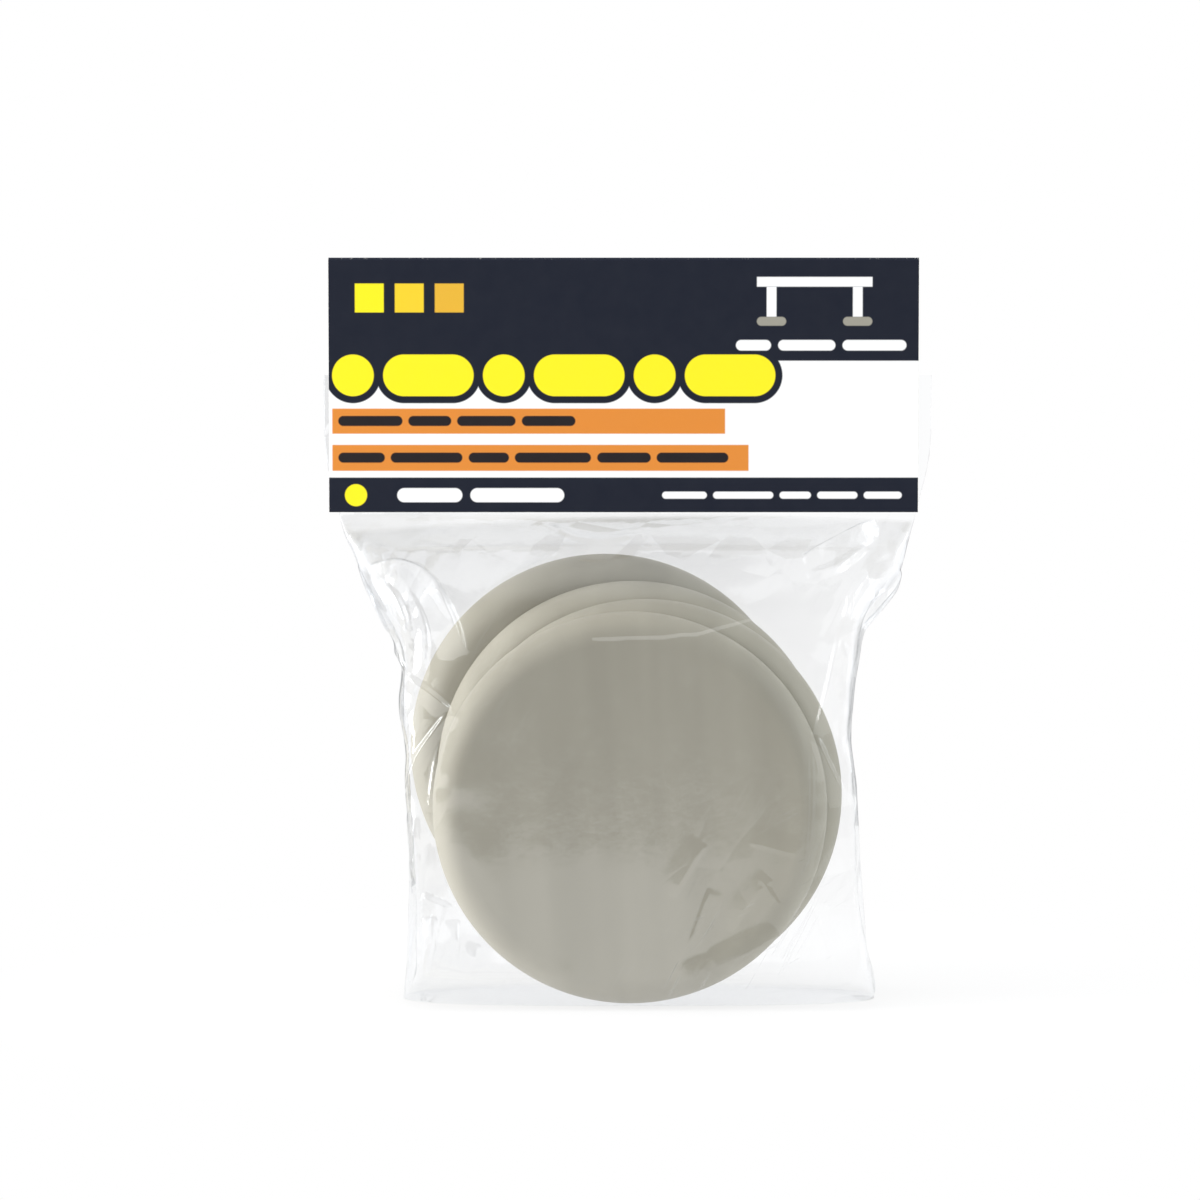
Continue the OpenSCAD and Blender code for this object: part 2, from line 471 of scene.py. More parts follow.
def pill(tree, across, up, start, end, height, radius):
    """1 inside a round-ended bar between two places across the card, at a height, and 0 outside."""
    inside = add(tree, "Clamp", Value=across, Min=start, Max=end).outputs[0]
    dx = maths(tree, "SUBTRACT", across, inside)
    dz = maths(tree, "SUBTRACT", up, height)
    squared = maths(tree, "ADD", maths(tree, "MULTIPLY", dx, dx), maths(tree, "MULTIPLY", dz, dz))
    return step_down(tree, maths(tree, "SQRT", squared), radius)


def block(tree, across, up, left, right, low, high):
    """1 inside a square-ended bar, and 0 outside."""
    width = maths(tree, "MULTIPLY", step_up(tree, across, left), step_down(tree, across, right))
    rise = maths(tree, "MULTIPLY", step_up(tree, up, low), step_down(tree, up, high))
    return maths(tree, "MULTIPLY", width, rise)


print("card foot in mm:", round(card_foot / mm, 1))

# %% Fields and bars
navy = colour(30, 34, 46)
orange = colour(224, 140, 60)
yellow = colour(252, 236, 40)
card_white = colour(247, 247, 247)
ink_black = colour(38, 34, 36)
slider_grey = colour(158, 155, 143)
dark_top_foot = 34.3
dark_band_top = 7.9
bars = [(-65.7, 22.9, 17.8, 23.5), (-65.7, 28.2, 9.4, 15.3)]

card_finish, tree, out = new_finish("printed_card")
where = place_of(tree)
card_spot = add(tree, "SeparateXYZ", Vector=where)
across = maths(tree, "SUBTRACT", card_spot.outputs["X"], card_middle)
up = maths(tree, "SUBTRACT", card_spot.outputs["Z"], card_foot)


def card_block(tree, edges):
    """One block on the card from its left, right, low and high edges in mm."""
    return block(tree, across, up, *(edge * mm for edge in edges))


dark_top = step_up(tree, up, dark_top_foot * mm)
dark_band = step_down(tree, up, dark_band_top * mm)
fields = mixed(tree, maths(tree, "MAXIMUM", dark_top, dark_band), card_white, navy)
paint = fields
for edges in bars:
    paint = mixed(tree, card_block(tree, edges), paint, orange)
print("bars printed:", len(bars))

# %% [markdown]
# ## Beads, squares and table
#
# Small shapes liven the fields: a row of yellow beads with a dark rim across the middle, three squares in
# the upper left corner, a picture of a table on two sliders at the upper right, and rows of dashes. Each
# is a union of round-ended or square-ended bars, so two helpers draw them all.

# %% Beads, squares and table
beads = [(-61.0, -61.0), (-49.5, -38.5), (-27.0, -27.0), (-15.5, -4.5), (7.0, 7.0), (18.5, 29.5)]
bead_height = 31.0
bead_radius = 4.7
bead_rim = 1.6
bead_back_top = 34.6


def join(tree, masks):
    """One mask for several."""
    whole = masks[0]
    for mask in masks[1:]:
        whole = maths(tree, "MAXIMUM", whole, mask)
    return whole


def pills(tree, spans, height, radius):
    """One mask for several round-ended bars at one height, in mm."""
    return join(tree, [pill(tree, across, up, a * mm, b * mm, height * mm, radius * mm) for a, b in spans])


bead_back = card_block(tree, (beads[0][0], beads[-1][1], bead_height, bead_back_top))
bead_rims = pills(tree, beads, bead_height, bead_radius + bead_rim)
paint = mixed(tree, maths(tree, "MAXIMUM", bead_back, bead_rims), paint, navy)
paint = mixed(tree, pills(tree, beads, bead_height, bead_radius), paint, yellow)

square_side = 6.5
square_foot = 45.2
squares = [(-60.5, yellow), (-51.5, colour(244, 208, 52)), (-42.5, colour(230, 180, 60))]
for left, ink in squares:
    square = card_block(tree, (left, left + square_side, square_foot, square_foot + square_side))
    paint = mixed(tree, square, paint, ink)

table_parts = [(30.0, 56.0, 51.0, 53.2), (32.2, 34.4, 44.2, 51.0), (51.6, 53.8, 44.2, 51.0)]
table_feet = [(31.0, 35.6), (50.4, 55.0)]
paint = mixed(tree, join(tree, [card_block(tree, edges) for edges in table_parts]), paint, card_white)
paint = mixed(tree, pills(tree, table_feet, 43.2, 1.0), paint, slider_grey)
print("beads:", len(beads), "squares:", len(squares), "table parts:", len(table_parts))

# %% Dashes
dark_dashes = [
    (20.7, 1.15, [(-63.2, -51.0), (-47.4, -40.0), (-36.4, -25.5), (-21.8, -12.0)]),
    (12.4, 1.15, [(-63.2, -55.0), (-51.4, -37.5), (-33.8, -27.0), (-23.4, -8.5), (-4.8, 5.0), (8.6, 22.5)]),
]
white_dashes = [
    (37.8, 1.2, [(26.5, 32.0), (36.0, 46.5), (50.5, 62.5)]),
    (3.9, 1.6, [(-49.5, -38.0), (-33.0, -15.0)]),
    (3.9, 0.8, [(9.5, 18.0), (21.0, 33.0), (36.0, 41.5), (44.5, 52.0), (55.0, 62.0)]),
]
foot_dot = [(-60.4, -60.4)]
for height, radius, spans in dark_dashes:
    paint = mixed(tree, pills(tree, spans, height, radius), paint, ink_black)
for height, radius, spans in white_dashes:
    paint = mixed(tree, pills(tree, spans, height, radius), paint, card_white)
paint = mixed(tree, pills(tree, foot_dot, 3.9, 2.5), paint, yellow)
print("rows of dashes:", len(dark_dashes) + len(white_dashes))

# %% [markdown]
# ## Card back and stock
#
# The back of the card takes the same fields, with rows of thin dashes. The card itself is coated board: its
# face is satin, its cut edges show the pale core, and the ink is a little worn along the fold. All of it is
# one finish, chosen by the place on the card, because the card is one folded piece.

# %% Card back
back_rows = [28.6, 25.0, 21.4, 17.8, 14.2]
back_print = fields
for height in back_rows:
    ends = 40 + 9 * math.sin(height)
    spans = [(-56, -38), (-34.5, -8 - ends / 8), (-8, 14 - ends / 6), (14, ends)]
    back_print = mixed(tree, pills(tree, spans, height, 0.55), back_print, ink_black)
print("rows on the back of the card:", len(back_rows))

# %% Card stock
front_limit = -0.0002
cut_width = 0.00005
fold_start = 57.2 * mm
front = maths(tree, "LESS_THAN", card_spot.outputs["Y"], front_limit)
paint = mixed(tree, front, back_print, paint)
half_width = card_high.x - card_middle
side_cut = maths(tree, "GREATER_THAN", maths(tree, "ABSOLUTE", across), half_width - cut_width)
foot_cut = maths(tree, "LESS_THAN", up, cut_width)
paint = mixed(tree, maths(tree, "MAXIMUM", side_cut, foot_cut), paint, colour(232, 230, 224))
fibres = add(tree, "TexNoise", Vector=where, Scale=1500.0, Detail=4.0, Roughness=0.7)
mottle = add(tree, "TexNoise", Vector=where, Scale=240.0, Detail=3.0)
worn = ramp(tree, fibres.outputs["Fac"], 0.62, 0.74)
worn = maths(tree, "MULTIPLY", worn, step_up(tree, up, fold_start))
paint = mixed(tree, worn, paint, colour(205, 203, 198))
paint = mixed(tree, maths(tree, "MULTIPLY", mottle.outputs["Fac"], 0.03), paint, colour(128, 128, 130))
card_skin = add(tree, "BsdfPrincipled", Base_Color=paint, Roughness=0.5, Specular_IOR_Level=0.08)
bump = add(tree, "Bump", Height=fibres.outputs["Fac"], Strength=0.15, Distance=0.00005)
tree.links.new(bump.outputs[0], card_skin.inputs["Normal"])
tree.links.new(card_skin.outputs[0], out.inputs["Surface"])
dress(["header_card"], card_finish)
frame["nodes"]["header_card"].visible_glossy = False
print("card printed, width in mm:", round((card_high.x - card_low.x) / mm, 1))

# %% [markdown]
# ## Film
#
# The bag is one tube of thin clear film. It could be built from flat panels, but real film has no panel
# edges, so it is lofted from rings: square round the stack, pointed at the base, and flat where it enters
# the card. The left and right edges follow the outline in the photo. Film sizes are in mm until the end.

# %% Film outline
film_columns = 100
neck_height = 111.0
room = 18.05
least_depth = 0.08
front_shoulder = 91.6
back_shoulder = 100.8
front_toe = 6.0
back_toe = 3.0
left_edge = [
    (0, 51.0), (4.6, 49.8), (11.4, 48.6), (22.8, 48.6), (34, 49.4), (45, 50.4), (56, 50.6), (68, 51.6),
    (77.4, 51.0), (84, 52.4), (93.3, 58.3), (105.8, 63.8), (111, 65.5), (124, 68.6), (142, 69),
]
right_edge = [
    (0, 56.2), (9, 55.1), (14.8, 53.7), (22.8, 52.6), (34, 52.1), (47.8, 51.7), (66, 50.6), (79.7, 52.1),
    (86.5, 53.6), (91, 56.6), (96.7, 61.4), (111, 65.5), (124, 68.6), (142, 69),
]
squareness = [(0, 2.6), (14, 13.0), (40, 14.0), (80, 12.0), (98, 4.0), (111, 2.5), (142, 2.5)]
print("outline stations at the left and right:", len(left_edge), len(right_edge))


# %% Film rings
def ease(t):
    """A smooth step from 0 to 1."""
    t = min(1.0, max(0.0, t))
    return t * t * (3 - 2 * t)


def along(stations, z):
    """A smooth value at a height, from (height, value) stations."""
    last = len(stations) - 1
    k = next((n for n in range(1, last) if z < stations[n][0]), last)
    (z0, v0), (z1, v1) = stations[k - 1], stations[k]

    def slope(n):
        a, b = stations[max(0, n - 1)], stations[min(last, n + 1)]
        return (b[1] - a[1]) / (b[0] - a[0])

    h = z1 - z0
    t = (z - z0) / h
    bend = (t ** 3 - 2 * t ** 2 + t) * h * slope(k - 1) + (t ** 3 - t ** 2) * h * slope(k)
    return v0 + (v1 - v0) * ease(t) + bend


def film_depth(z, shoulder, toe):
    """Half depth of the film's tube at a height."""
    rise = ease((z - shoulder) / (neck_height - shoulder))
    curl = 0 if z >= toe else toe - math.sqrt(toe * toe - (toe - z) ** 2)
    return max(least_depth, room * (1 - rise) - curl)


def half_ring(z, side):
    """Points of the front or back half of a ring, from right to left, evenly spaced."""
    depth = film_depth(z, front_shoulder, front_toe) if side < 0 else film_depth(z, back_shoulder, back_toe)
    power = 2 / along(squareness, z)
    turns = np.radians(np.linspace(0, 180, 1441))
    c, s = np.cos(turns), np.sin(turns)
    x = np.sign(c) * np.abs(c) ** power * np.where(c < 0, along(left_edge, z), along(right_edge, z))
    y = side * depth * np.abs(s) ** power
    walk = np.concatenate([[0], np.cumsum(np.hypot(np.diff(x), np.diff(y)))])
    even = np.linspace(0, walk[-1], film_columns + 1)
    level = np.full(film_columns + 1, z)
    return np.column_stack([np.interp(even, walk, x), np.interp(even, walk, y), level])


heights = list(np.concatenate([
    np.array([0.25, 1.0, 2.2, 3.8, 5.6]),
    np.linspace(7.4, 86.0, 58),
    np.linspace(87.2, 111.0, 26),
    np.linspace(113.0, 142.0, 10),
]))
rings = []
for z in heights:
    front_half = half_ring(z, -1)
    back_half = half_ring(z, 1)[::-1]
    rings.append(np.concatenate([front_half[:-1], back_half[:-1]]))
print("film rings:", len(rings))

# %% Film mesh
around = 2 * film_columns
base_rows = 10
points = [tuple(p) for ring in rings for p in ring]
faces = []
for k in range(len(rings) - 1):
    for j in range(around):
        a, b = k * around + j, k * around + (j + 1) % around
        faces.append((a, b, b + around, a + around))
base_grid = {}
for j in range(film_columns + 1):
    front_point, back_point = rings[0][j % around], rings[0][(around - j) % around]
    base_grid[j, 0], base_grid[j, base_rows] = j, (around - j) % around
    for r in range(1, base_rows):
        if j in (0, film_columns):
            base_grid[j, r] = j
            continue
        base_grid[j, r] = len(points)
        points.append(tuple(front_point + (back_point - front_point) * r / base_rows))
for j in range(film_columns):
    for r in range(base_rows):
        quad = [base_grid[j, r], base_grid[j, r + 1], base_grid[j + 1, r + 1], base_grid[j + 1, r]]
        quad = list(dict.fromkeys(quad))
        if len(quad) > 2:
            faces.append(tuple(quad))
film_points = np.array(points)
print("film points:", len(points), "faces:", len(faces))

# %% [markdown]
# ## Slack in the film
#
# Real film buckles into folds because it is a little longer than its path. Folds could be drawn by hand, but
# a cloth simulation finds soft ones by itself. Film that starts perfectly even has no reason to buckle either
# way, so a faint waver is added first. The mouth and the base are held, and only the sides and the neck
# get slack. The simulation runs at twenty times life size, where cloth is steadier.

# %% Slack film
sim_scale = 20 * mm
waver_scale = 0.06
rest_points = film_points.copy()
for n, p in enumerate(rest_points):
    if 1.0 < p[2] < neck_height - 0.5:
        spot = Vector(p) * waver_scale
        waver = 0.02 + 0.6 * ease((abs(p[0]) - 38) / 10) + 0.5 * ease((14 - p[2]) / 10)
        outward = Vector((p[0] * 0.35, p[1], 0)).normalized()
        rest_points[n] += np.array(outward) * noise.fractal(spot, 1.0, 2.0, 4) * waver

film_mesh = bpy.data.meshes.new("bag_film")
film_mesh.from_pydata([tuple(p * sim_scale) for p in rest_points], [], faces)
film = bpy.data.objects.new("bag_film", film_mesh)
scene.collection.objects.link(film)
held = film.vertex_groups.new(name="held")
slack = film.vertex_groups.new(name="slack")
for n, p in enumerate(film_points):
    if p[2] > neck_height - 0.4 or p[2] < 0.3:
        held.add([n], 1.0, "REPLACE")
    at_side = ease((abs(p[0]) - 45) / 5)
    at_neck = ease((p[2] - 88) / 10)
    slack.add([n], max(at_side, at_neck), "REPLACE")
print("film points with waver:", len(rest_points))

# %% [markdown]
# ## Stand-ins for the sliders
#
# The film rests on the sliders, and still has to leave them room to shift. The shells as they stand would
# only hold the film off where they are now. So a plain hull covers each slider at both ends
# of its travel. The hulls serve the simulation alone and are deleted after it.

# %% Stand-ins
hull_steps = 64
front_round = 5.8 * mm
front_cut_in = 2.2 * mm
front_cut_back = 1.4 * mm
back_round = 1.2 * mm
pad_inset = 3 * mm
travel = {j["child"]: j["range_m"] for j in frame["joints"] if j["type"] == "slide"}


def stand_in(i):
    """A hull round a slider at both ends of its travel, which the film collides with."""
    low, high = (Vector(corner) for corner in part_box(f"glide_shell_{i}"))
    radius = (high.x - low.x) / 2
    pad_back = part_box(f"grip_pad_{i}")[1][1]
    profile = [
        (radius - front_round, low.y),
        (radius - front_cut_in, low.y + front_cut_back),
        (radius, low.y + front_round),
        (radius, high.y - back_round),
        (radius - back_round, high.y),
        (radius - pad_inset, pad_back),
    ]
    work = bmesh.new()
    for shift in travel[f"slider_{i}"]:
        for reach, deep in profile:
            for s in range(hull_steps):
                turn = 2 * math.pi * s / hull_steps
                x = (low.x + high.x) / 2 + reach * math.cos(turn)
                z = (low.z + high.z) / 2 + shift + reach * math.sin(turn)
                work.verts.new(Vector((x, deep, z)) * sim_scale / mm)
    bmesh.ops.convex_hull(work, input=work.verts)
    inner_points = [v for v in work.verts if not v.link_faces]
    bmesh.ops.delete(work, geom=inner_points, context="VERTS")
    data = bpy.data.meshes.new(f"stand_in_{i}")
    work.to_mesh(data)
    work.free()
    hull = bpy.data.objects.new(f"stand_in_{i}", data)
    scene.collection.objects.link(hull)
    hull.modifiers.new("Collision", "COLLISION")
    hull.collision.thickness_outer = 0.003
    hull.collision.thickness_inner = 0.06
    hull.collision.cloth_friction = 3
    return hull


stand_ins = [stand_in(i) for i in range(1, 5)]
print("stand-ins:", len(stand_ins))

# %% [markdown]
# ## Cloth
#
# Film hardly stretches and springs back when bent, so the cloth is stiff in tension and soft in bending.
# Gravity is off, because film is too light to sag. A negative shrink makes the slack parts longer.

# %% Cloth
sim_frames = 36
cloth = film.modifiers.new("Cloth", "CLOTH")
cloth.settings.quality = 6
cloth.settings.mass = 0.15
cloth.settings.air_damping = 4
cloth.settings.tension_stiffness = 60
cloth.settings.compression_stiffness = 60
cloth.settings.shear_stiffness = 30
cloth.settings.bending_stiffness = 0.6
cloth.settings.tension_damping = 10
cloth.settings.compression_damping = 10
cloth.settings.shear_damping = 10
cloth.settings.vertex_group_mass = "held"
cloth.settings.vertex_group_shrink = "slack"
cloth.settings.shrink_min = 0.0
cloth.settings.shrink_max = -0.022
cloth.settings.effector_weights.gravity = 0
cloth.collision_settings.distance_min = 0.004
cloth.collision_settings.collision_quality = 3
cloth.point_cache.frame_start = 1
cloth.point_cache.frame_end = sim_frames
for step in range(1, sim_frames + 1):
    scene.frame_set(step)
simulated = film.evaluated_get(bpy.context.evaluated_depsgraph_get())
settled = np.array([v.co for v in simulated.data.vertices]) / sim_scale
print("frames simulated:", sim_frames)

# %% [markdown]
# ## Settled film
#
# In the photo a straight reflection crosses the front slider, so the film lies quite flat on its face. The
# settled film is pressed flat there, and blends back into the folds beyond. Then the result goes into
# the mesh at life size, and one level of subdivision rounds its facets.

# %% Settled film
press_reach = 37
press_fade = 8
low, high = (np.array(corner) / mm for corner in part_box("glide_shell_1"))
off_face = (settled - (low + high) / 2)[:, [0, 2]]
pressed = np.clip((press_reach - np.linalg.norm(off_face, axis=1)) / press_fade, 0, 1) * (settled[:, 1] < 0)
settled[:, 1] += (-room - settled[:, 1]) * pressed
film.modifiers.remove(cloth)
scene.frame_set(1)
for hull in stand_ins:
    data = hull.data
    bpy.data.objects.remove(hull)
    bpy.data.meshes.remove(data)
for v, p in zip(film_mesh.vertices, settled):
    v.co = Vector(p) * mm
film_mesh.update()
film.vertex_groups.clear()
moved = np.linalg.norm(settled - film_points, axis=1)
print("film moved, mean and most in mm:", round(float(moved.mean()), 2), round(float(moved.max()), 2))

# %% Smooth film
fine = film.modifiers.new("Fine", "SUBSURF")
fine.levels = 1
fine.render_levels = 1
bpy.context.view_layer.objects.active = film
film.select_set(True)
bpy.ops.object.modifier_apply(modifier="Fine")
film.data.shade_smooth()
print("film faces:", len(film.data.polygons))

# %% [markdown]
# ## Creases
#
# Stiff film doesn't only ripple: it breaks into sharp folds where it is drawn in beside the stack and at
# the neck. Each crease is a line of (x, z) points on the front or the back, with a height and a width
# on each side of the line: a narrow side gives a crisp edge, and a wide one a flap that lies flat.
# The widths are for the left and the right hand as the line is walked from its first point.

# %% Crease lines
left_creases = [
    ([(-58, 99), (-52, 100), (-46, 98.5), (-41.5, 94), (-38.5, 88), (-36.8, 81)], 2.6, 1.1, 6.0),
    ([(-60.3, 99.3), (-53.8, 88), (-49.2, 75.9)], 1.4, 1.2, 1.2),
    ([(-55, 97), (-50.5, 92), (-48.8, 85), (-49, 77)], 1.2, 0.9, 3.0),
    ([(-50, 96), (-45.5, 90), (-44.5, 82), (-46, 75)], 0.9, 0.8, 2.5),
    ([(-49.2, 75.9), (-44.5, 72.5), (-39.8, 68.4)], 1.4, 0.8, 3.0),
    ([(-39.8, 68.4), (-44.5, 62), (-47.8, 56.7), (-49.2, 49.2)], 1.2, 2.5, 0.9),
    ([(-40.3, 67), (-42.5, 59), (-43.8, 51.5), (-44.2, 45.5)], 0.5, 1.0, 1.0),
    ([(-47.6, 44), (-47.4, 36), (-47.9, 27)], 1.1, 0.9, 2.4),
    ([(-46, 26), (-43, 24.6), (-39.8, 23.2)], 0.9, 0.8, 2.4),
    ([(-43.6, 21), (-43.8, 11), (-46.5, 1)], 1.5, 0.9, 3.2),
    ([(-38.5, 20.5), (-38, 13), (-41.2, 6.5), (-45, 0.9)], 1.1, 0.8, 3.0),
    ([(-34, 15), (-34.5, 9), (-37.5, 3)], 0.8, 0.8, 2.6),
]
right_creases = [
    ([(39.3, 101), (48, 105.2), (55.5, 109.2)], 2.0, 1.0, 4.5),
    ([(40.2, 97.3), (47.2, 98.7), (53.7, 103.3)], 1.4, 3.0, 1.0),
    ([(61.5, 98), (56.5, 91.5), (51.5, 86.8), (47.5, 84.6)], 1.6, 2.5, 1.0),
    ([(47.2, 85.4), (44.8, 73.7), (42.1, 62.5)], 1.0, 2.0, 0.9),
    ([(48, 84), (50.2, 76), (49.2, 64)], 0.8, 1.0, 1.5),
    ([(42.1, 62.5), (44.4, 56.9), (48.1, 49.4)], 0.9, 1.0, 2.0),
    ([(41.1, 61), (41.4, 47), (40.6, 33)], 0.35, 0.9, 0.9),
    ([(49, 62), (50.6, 50), (51, 40.5), (52.6, 22), (53.8, 8)], 0.7, 1.0, 2.0),
]
face_creases = [
    ([(10.4, 25.8), (14, 32), (17.4, 37.5)], 0.16, 5.0, 0.5),
    ([(9.9, 4.9), (24, 11), (34.1, 17)], 0.45, 5.0, 0.6),
    ([(38.3, 35.1), (27.6, 37.9)], 0.14, 0.5, 4.0),
    ([(34.1, 23.9), (29.5, 30.9)], 0.16, 4.0, 0.5),
    ([(23, 18.3), (28.6, 25.8), (32.3, 29.5)], 0.18, 4.5, 0.5),
    ([(13.7, 14.6), (18.3, 27.7)], 0.16, 0.5, 5.0),
    ([(-8, 84.5), (2, 84.9), (9, 85), (12, 85.7), (15, 85.5), (19, 86.7), (27.6, 88.9)], 0.3, 0.5, 0.5),
    ([(-62, 109), (-50, 107.6), (-38, 108.6), (-22, 107.8)], 0.5, 1.8, 1.8),
    ([(20, 108), (34, 107.4), (52, 108.6)], 0.5, 1.8, 1.8),
]
back_creases = [
    ([(-60, 104), (-50, 98), (-41, 84)], 1.0, 1.2, 3.0),
    ([(-47, 78), (-44, 62), (-48, 46)], 0.8, 1.0, 2.0),
    ([(-43, 20), (-47, 1)], 0.8, 1.2, 2.2),
    ([(61, 106), (52, 96), (45, 80)], 1.0, 3.0, 1.2),
    ([(46, 76), (49, 60), (47, 42)], 0.7, 2.0, 1.0),
    ([(-20, 108), (-8, 102), (4, 105)], 0.6, 2.2, 1.2),
    ([(44, 18), (50, 1)], 0.8, 2.2, 1.2),
]


# %% Crease shape
def rounded(line):
    """The same line with its corners cut twice over, so that it bends smoothly."""
    line = np.array(line, float)
    for _ in range(2):
        first, last = line[:-1], line[1:]
        cut = np.stack([0.75 * first + 0.25 * last, 0.25 * first + 0.75 * last], axis=1)
        line = np.concatenate([line[:1], cut.reshape(-1, 2), line[-1:]])
    return line


def beside_line(place, line):
    """How far each (x, z) place is from a line, how near the line's ends, and if it is at the left."""
    spans = np.linalg.norm(np.diff(line, axis=0), axis=1)
    starts = np.concatenate([[0], np.cumsum(spans)])
    far = np.full(len(place), 1e9)
    gone = np.zeros(len(place))
    at_left = np.zeros(len(place), bool)
    for a, b, span, start in zip(line, line[1:], spans, starts):
        run = b - a
        off = place - a
        t = np.clip((off @ run) / span ** 2, 0, 1)
        away = np.linalg.norm(off - t[:, None] * run, axis=1)
        near = away < far
        far[near] = away[near]
        gone[near] = (start + t * span)[near]
        at_left[near] = (run[0] * off[:, 1] > run[1] * off[:, 0])[near]
    return far, np.minimum(gone, starts[-1] - gone) / starts[-1], at_left


sides = [(left_creases + right_creases + face_creases, -1), (back_creases, 1)]
crease_table = [(rounded(line), *rest, side) for creases, side in sides for line, *rest in creases]
print("crease lines:", len(crease_table))

# %% [markdown]
# ## Lifting the creases
#
# A crisp fold needs small faces, but only beside its line. So the film is divided there alone, and
# then each point near a line is lifted along its normal by the fold's height, less the further off it is.

# %% Finer film at the creases
fine_reach = 1.6
off_seam = 0.05
work = bmesh.new()
work.from_mesh(film.data)
spots = np.array([v.co for v in work.verts]) / mm
close = np.zeros(len(spots), bool)
for line, *_, side in crease_table:
    far, *_ = beside_line(spots[:, [0, 2]], line)
    close |= (far < fine_reach) & (spots[:, 1] * side > off_seam)
cut_edges = [e for e in work.edges if close[e.verts[0].index] and close[e.verts[1].index]]
bmesh.ops.subdivide_edges(work, edges=cut_edges, cuts=1, use_grid_fill=True)
work.to_mesh(film.data)
work.free()
film.data.shade_smooth()
print("film faces with creases:", len(film.data.polygons))

# %% Creases
end_fade = 0.2
film_mesh = film.data
count = len(film_mesh.vertices)
co = np.zeros(count * 3)
film_mesh.vertices.foreach_get("co", co)
co = co.reshape(-1, 3) / mm
normals = np.zeros(count * 3)
film_mesh.vertex_normals.foreach_get("vector", normals)
normals = normals.reshape(-1, 3)
outward = np.sign((normals[:, 1] * co[:, 1]).sum())
lift = np.zeros(count)
for line, height, left_width, right_width, side in crease_table:
    far, ends, at_left = beside_line(co[:, [0, 2]], line)
    falloff = np.clip(1 - far / np.where(at_left, left_width, right_width), 0, 1)
    rise = height * falloff * np.sqrt(np.clip(ends / end_fade, 0, 1))
    lift = np.maximum(lift, np.where(co[:, 1] * side > off_seam, rise, 0))
lift *= np.clip((neck_height - 0.5 - co[:, 2]) / 1.5, 0, 1)
co += normals * outward * lift[:, None]
film_mesh.vertices.foreach_set("co", (co * mm).ravel())
film_mesh.update()
print("creases:", len(crease_table), "points lifted:", int((lift > 0).sum()))

# %% [markdown]
# ## Film finish
#
# Thin film lets nearly all light through, and mirrors the studio: a little when seen square on, and much
# more at a slant. A glass shader would bend light as a thick pane does, so a clear shader and a mirror are
# mixed by the angle of the surface instead. Fine rubs on the front keep the flat film from vanishing.

# %% Film rubs
clear_film, tree, out = new_finish("clear_film")
where = place_of(tree)


def streaks(tree, tilt, scale, low, high):
    """A share from 0 to 1 on lines drawn out by unequal scales and tilted about Y."""
    tilted = drawn_out(tree, where, tilt, scale)
    lines = add(tree, "TexNoise", Vector=tilted, Scale=1.0, Detail=4.0, Roughness=0.6)
    return ramp(tree, lines.outputs["Fac"], low, high)


rub_middle = (0.024, 0.0, 0.026)
rub_reach = 0.034
from_rub = add(tree, "VectorMath", "SUBTRACT", s0=where, s1=rub_middle)
flat_off = add(tree, "VectorMath", "MULTIPLY", s0=from_rub.outputs[0], s1=(1, 0, 1))
rub_distance = add(tree, "VectorMath", "LENGTH", s0=flat_off.outputs[0]).outputs["Value"]
rubbed = add(tree, "MapRange", Value=rub_distance, From_Max=rub_reach, To_Min=1.0, To_Max=0.25).outputs[0]
patch = add(tree, "TexNoise", Vector=where, Scale=22.0, Detail=2.0)
patchy = ramp(tree, patch.outputs["Fac"], 0.42, 0.62)
long_rubs = streaks(tree, 62, (45, 45, 900), 0.58, 0.66)
short_rubs = streaks(tree, 28, (120, 120, 1500), 0.60, 0.68)
rubs = maths(tree, "MULTIPLY", maths(tree, "MAXIMUM", long_rubs, short_rubs), patchy)
rubs = maths(tree, "MULTIPLY", rubs, rubbed)
print("rubs reach in mm:", round(rub_reach / mm, 1))

# %% [markdown]
# ## Film surface
#
# Between the folds the film is drawn into faint upright ripples, and where it is handled it breaks into flat
# facets. Both are too shallow to model, so they are bumps: noise drawn out upright, and tilted Voronoi cells
# that are strong only at the sides, the neck and the rubbed corner.

# %% Film surface
film_spot = add(tree, "SeparateXYZ", Vector=where).outputs
film_x = film_spot["X"]
film_z = film_spot["Z"]
pulls = streaks(tree, 4, (150, 150, 9), 0.2, 0.8)
crinkle = add(tree, "TexNoise", Vector=where, Scale=300.0, Detail=3.0, Roughness=0.5)
height = maths(tree, "MULTIPLY_ADD", crinkle.outputs["Fac"], 0.25, pulls)
ripple = add(tree, "Bump", Height=height, Strength=0.2, Distance=0.0004)
at_sides = ramp(tree, maths(tree, "ABSOLUTE", film_x), 0.040, 0.052)
in_neck = ramp(tree, film_z, 0.088, 0.104)
folded = maths(tree, "MAXIMUM", at_sides, in_neck)
folded = maths(tree, "MAXIMUM", folded, maths(tree, "MULTIPLY_ADD", rubbed, 0.3, -0.12))
folded = maths(tree, "MULTIPLY_ADD", folded, 0.45, 0.012)
facets = add(tree, "TexVoronoi", Vector=drawn_out(tree, where, 66, (48, 60, 95)), Scale=1.0)
facets.feature = "DISTANCE_TO_EDGE"
facet = add(tree, "Bump", Height=facets.outputs["Distance"], Strength=folded, Distance=0.003)
tree.links.new(ripple.outputs[0], facet.inputs["Normal"])
print("film nodes so far:", len(tree.nodes))
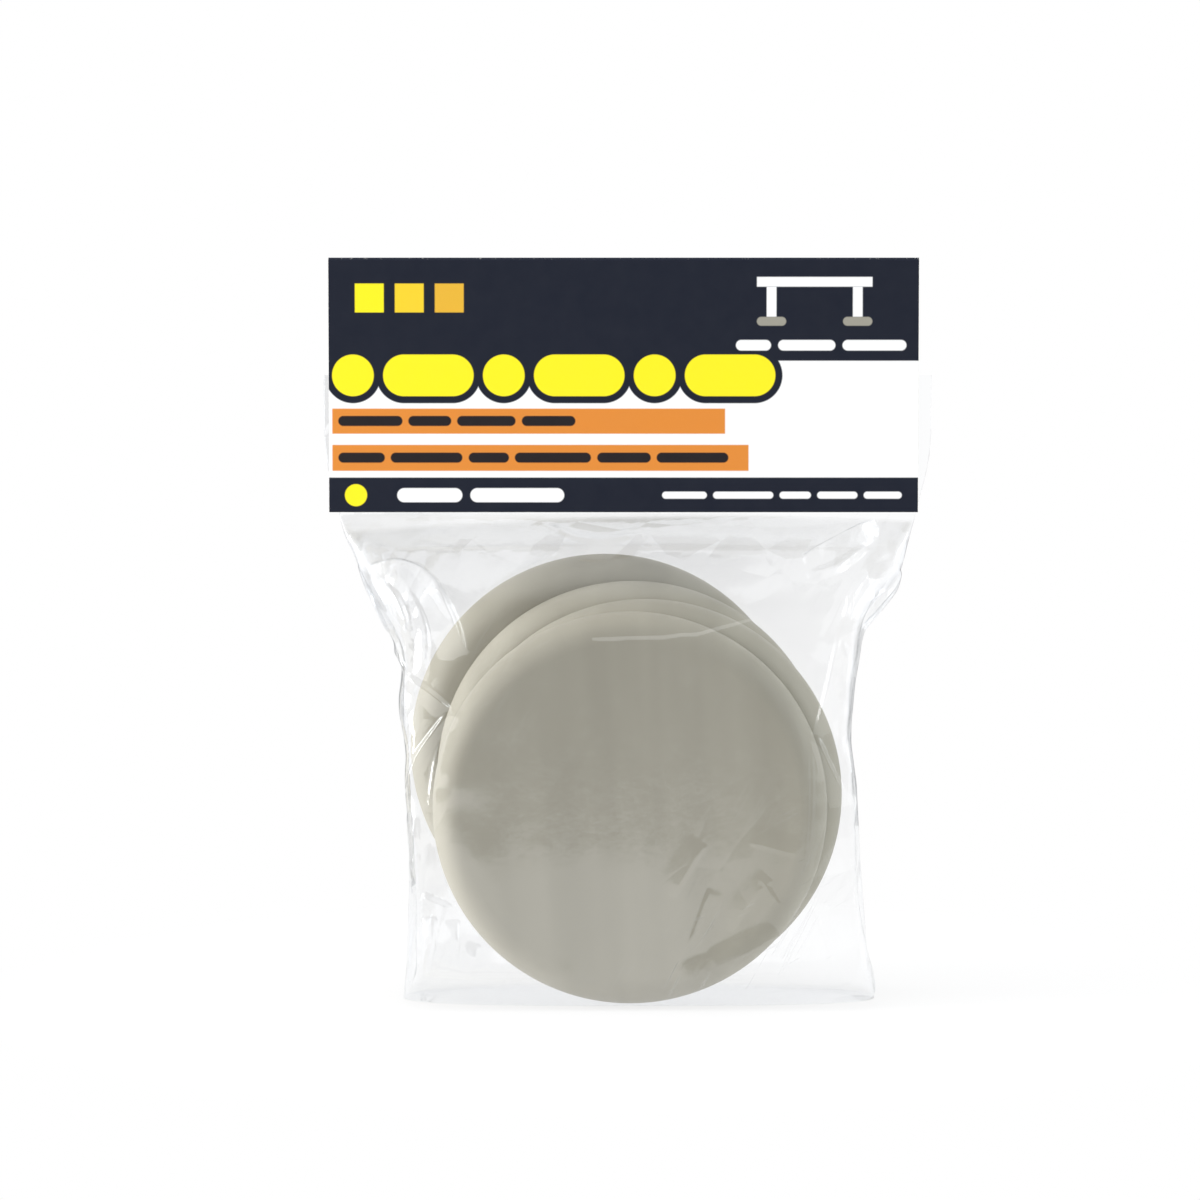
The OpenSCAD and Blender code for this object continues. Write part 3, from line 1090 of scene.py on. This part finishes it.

# %% [markdown]
# ## Film gloss
#
# In the photo the film is a grey veil at the neck and the upper left, clearer at the right, and white in
# a bowed band under the card. So the least share of mirror is set by the place on the film: a little haze
# of the film's own, with a painted grey veil at the neck and upper left, painted light at the right, and a
# painted highlight in the bowed band under the card. To it comes the slant of the surface, which brings out
# each edge and fold.

# %% Film gloss
# The bowed band under the card, where less mirror paints a white highlight.
from_dip = maths(tree, "SUBTRACT", film_x, 0.02)
bowed = maths(tree, "MULTIPLY", from_dip, from_dip)
near_card = maths(tree, "MULTIPLY_ADD", bowed, 0.5, film_z)
painted_highlight_band = ramp(tree, near_card, 0.1092, 0.1104)
at_right = ramp(tree, film_x, 0.015, 0.045)
low_right = maths(tree, "MULTIPLY", at_right, ramp(tree, film_z, 0.055, 0.02))
upper_left = maths(tree, "MULTIPLY", ramp(tree, film_x, -0.036, -0.048), ramp(tree, film_z, 0.03, 0.06))
# Partly the film's own haze, partly painted: more mirror paints a grey veil, less paints a lighter right side
# and the white highlight band.
haze_and_painted_veil = 0.12
painted_veil_gains = [(in_neck, 0.085), (upper_left, 0.06), (painted_highlight_band, -0.15), (at_right, -0.065), (low_right, -0.04)]
for part, gain in painted_veil_gains:
    haze_and_painted_veil = maths(tree, "MULTIPLY_ADD", part, gain, haze_and_painted_veil)
facing = add(tree, "LayerWeight", Blend=0.5, Normal=facet.outputs[0]).outputs["Facing"]
share = maths(tree, "MULTIPLY_ADD", maths(tree, "POWER", facing, 3.5), 0.8, haze_and_painted_veil)
share = maths(tree, "MULTIPLY_ADD", rubs, 0.14, share)
share = maths(tree, "MINIMUM", share, 0.95)
gloss = maths(tree, "MULTIPLY_ADD", rubs, 0.4, 0.1)
clear = add(tree, "BsdfTransparent", Color=(0.988, 0.99, 0.992, 1))
mirror = add(tree, "BsdfPrincipled", Base_Color=(0.95, 0.96, 0.97, 1), Metallic=1.0, Roughness=gloss)
tree.links.new(facet.outputs[0], mirror.inputs["Normal"])
both = add(tree, "MixShader", s0=share, s1=clear.outputs[0], s2=mirror.outputs[0])
tree.links.new(both.outputs[0], out.inputs["Surface"])
film.data.materials.append(clear_film)
print("film nodes in all:", len(tree.nodes))

# %% [markdown]
# ## Film in the frame
#
# The one film stands for the five film solids, which are hidden. Its lower part belongs to the bag and its
# mouth to the header, and its place is baked into its points.

# %% Film in the frame
film_nodes = ["bag_front_panel", "bag_back_panel", "bag_base_panel", "bag_mouth_front", "bag_mouth_back"]
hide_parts(*film_nodes)
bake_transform(film)
print("solids shown as film:", len(film_nodes))
